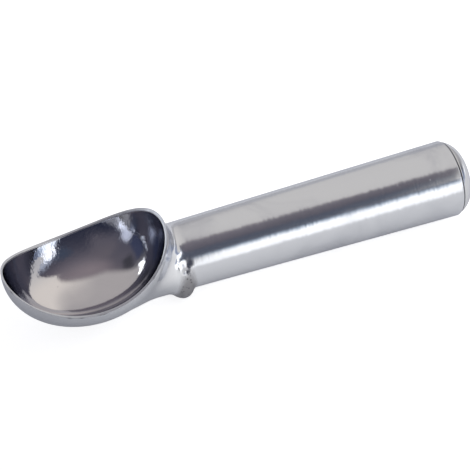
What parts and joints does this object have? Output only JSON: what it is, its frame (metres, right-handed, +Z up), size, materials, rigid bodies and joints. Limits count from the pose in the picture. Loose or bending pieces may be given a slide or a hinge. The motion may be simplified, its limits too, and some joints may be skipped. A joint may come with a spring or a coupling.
{
  "type": "ice cream scoop",
  "caption": "Cast-aluminium ice cream scoop with an oval open bowl, a heel under the neck and a thick hollow tapered handle closed by a domed cap, sealing in a heat-conducting liquid.",
  "frame": {"origin": "middle of the overall length and width, at the lowest point of the heel, on the surface that the scoop lies on", "axes": "+X along the handle's axis toward the cap, +Z up out of the open bowl, +Y across the bowl; the scoop is mirrored in the XZ plane"},
  "size_m": [0.1817, 0.0444, 0.037],
  "materials": {
    "cast_aluminium": "polished casting with fine polishing lines",
    "cap_aluminium": "turned and polished",
    "seal_rubber": "matte black",
    "heat_liquid": "clear tinted liquid"
  },
  "bodies": {
    "root": {"scoop_casting": "cast_aluminium", "end_cap": "cap_aluminium", "cap_seal": "seal_rubber", "heat_fluid": "heat_liquid"}
  },
  "joints": []
}
